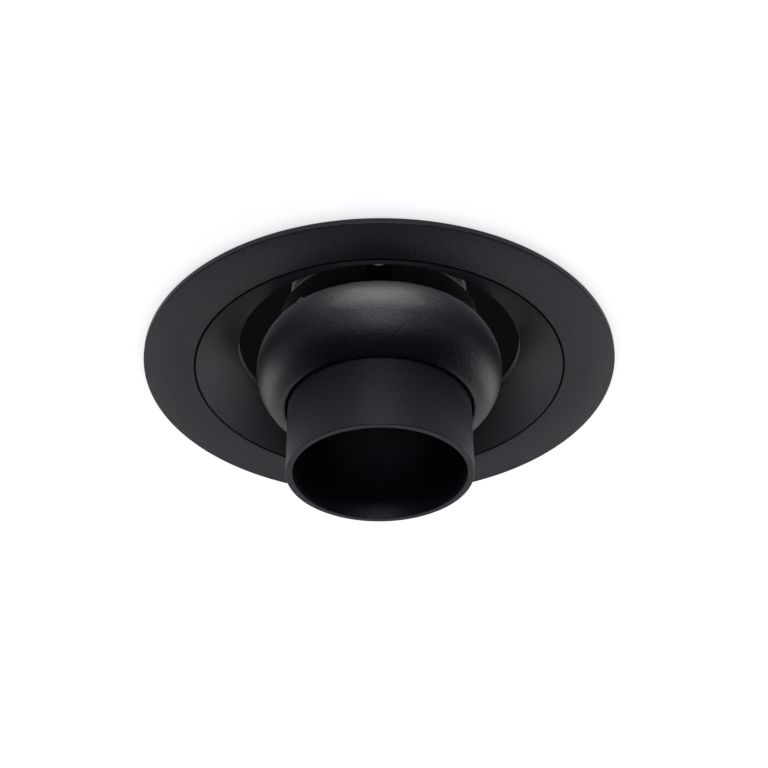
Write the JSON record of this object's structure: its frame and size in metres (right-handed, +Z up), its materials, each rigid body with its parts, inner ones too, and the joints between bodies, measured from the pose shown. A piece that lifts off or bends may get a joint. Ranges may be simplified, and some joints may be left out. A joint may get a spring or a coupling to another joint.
{
  "type": "recessed adjustable soffit downlight",
  "caption": "Round black recessed soffit light with a swivelling cone ring, a tilting donut-shaped ball and a sliding tubular snoot, held by spring clips.",
  "frame": {"origin": "on the light's axis, in the plane of the soffit's lower surface, at the centre of the cut-out", "axes": "+Z up into the soffit along the light's axis, +X towards the right spring clip, +Y away from the viewer, along the tilt axis"},
  "size_m": [0.1836, 0.142, 0.0958],
  "materials": {
    "black_coat": "fine matt powder coat, black",
    "foam": "closed-cell foam",
    "nylon": "natural nylon",
    "spring_steel": "bright spring steel",
    "zinc_steel": "zinc-plated steel",
    "silicone": "moulded silicone rubber",
    "black_anodised": "black anodised",
    "clear_glass": "toughened, clear",
    "bright_aluminium": "vapour-bright bowl",
    "white_plastic": "white heat-resisting plastic",
    "white_board": "white solder mask on metal",
    "phosphor": "yellow phosphor gel",
    "grey_pad": "thermal gap pad",
    "black_plastic": "black nylon"
  },
  "bodies": {
    "trim": {"trim_ring": "black_coat", "soffit_gasket": "foam", "swivel_washer": "nylon", "wave_washer": "spring_steel", "retaining_ring": "spring_steel", "swivel_stop_pin": "zinc_steel", "bracket_screws": "zinc_steel", "clip_pivot_pins": "zinc_steel", "clip_bracket_left": "zinc_steel", "clip_bracket_right": "zinc_steel"},
    "swivel": {"swivel_ring": "black_coat"},
    "ball": {"ball_shell": "black_coat", "lower_guide_ring": "nylon", "upper_guide_ring": "nylon", "slide_o_ring": "silicone", "guide_screw": "zinc_steel", "pivot_screws": "zinc_steel", "pivot_washers": "nylon", "tension_washers": "spring_steel"},
    "snoot": {"snoot_tube": "black_coat", "stop_ring": "spring_steel", "lens_retaining_ring": "black_coat", "front_glass": "clear_glass", "glass_seal": "silicone", "reflector": "bright_aluminium", "led_holder": "white_plastic", "led_board": "white_board", "led_emitter": "phosphor", "thermal_pad": "grey_pad", "heat_sink": "black_anodised", "heat_sink_seal": "silicone", "heat_sink_screws": "zinc_steel", "gland_body": "black_plastic", "gland_seal": "silicone", "gland_nut": "black_plastic"},
    "clip_left": {"clip_arm_left": "zinc_steel", "clip_spring_left": "spring_steel", "clip_pad_left": "silicone"},
    "clip_right": {"clip_arm_right": "zinc_steel", "clip_spring_right": "spring_steel", "clip_pad_right": "silicone"}
  },
  "joints": [
    {"name": "head_swivel", "type": "hinge", "parent": "trim", "child": "swivel", "pos_m": [0, 0, 0], "axis": [0, 0, 1], "range_deg": [-176.5, 176.5]},
    {"name": "ball_tilt", "type": "hinge", "parent": "swivel", "child": "ball", "pos_m": [0, 0, 0.0115], "axis": [0, 1, 0], "range_deg": [-25, 25]},
    {"name": "snoot_slide", "type": "slide", "parent": "ball", "child": "snoot", "axis": [0, 0, 1], "range_m": [0, 0.02]},
    {"name": "clip_right_fold", "type": "hinge", "parent": "trim", "child": "clip_right", "pos_m": [0.0611, 0, 0.02], "axis": [0, -1, 0], "range_deg": [0, 115], "stiffness_Nm_per_rad": 0.1, "springref_deg": -85.94},
    {"name": "clip_left_fold", "type": "hinge", "parent": "trim", "child": "clip_left", "pos_m": [-0.0611, 0, 0.02], "axis": [0, 1, 0], "range_deg": [0, 115], "stiffness_Nm_per_rad": 0.1, "springref_deg": -85.94}
  ]
}
